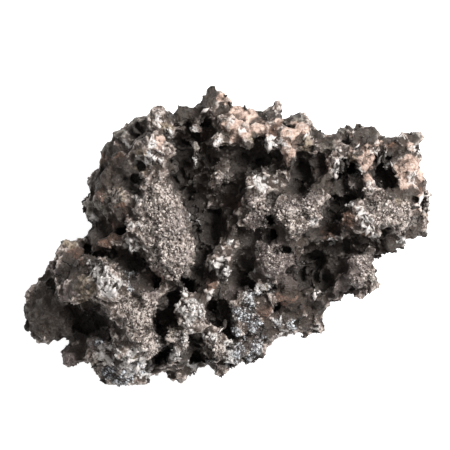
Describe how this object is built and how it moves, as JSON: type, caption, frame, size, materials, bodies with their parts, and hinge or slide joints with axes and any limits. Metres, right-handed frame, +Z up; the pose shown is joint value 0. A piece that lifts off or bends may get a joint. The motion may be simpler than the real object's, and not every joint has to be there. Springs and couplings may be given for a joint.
{
  "type": "descloizite mineral specimen",
  "caption": "Hand-sized knobbly crust of small flat-faced crystals with deep hollows, broken off flat at the back, shown lying on that back as a display or study specimen.",
  "frame": {"origin": "on the resting plane of the flat broken back, under the middle of the specimen's outline", "axes": "+X along the specimen's length, +Y across it, +Z up out of the crusted face"},
  "size_m": [0.1012, 0.0742, 0.0341],
  "materials": {
    "crust": "rough druse of small glinting crystals, brown grey, with peach clay and blue white patches"
  },
  "bodies": {
    "root": {"descloizite": "crust"}
  },
  "joints": []
}
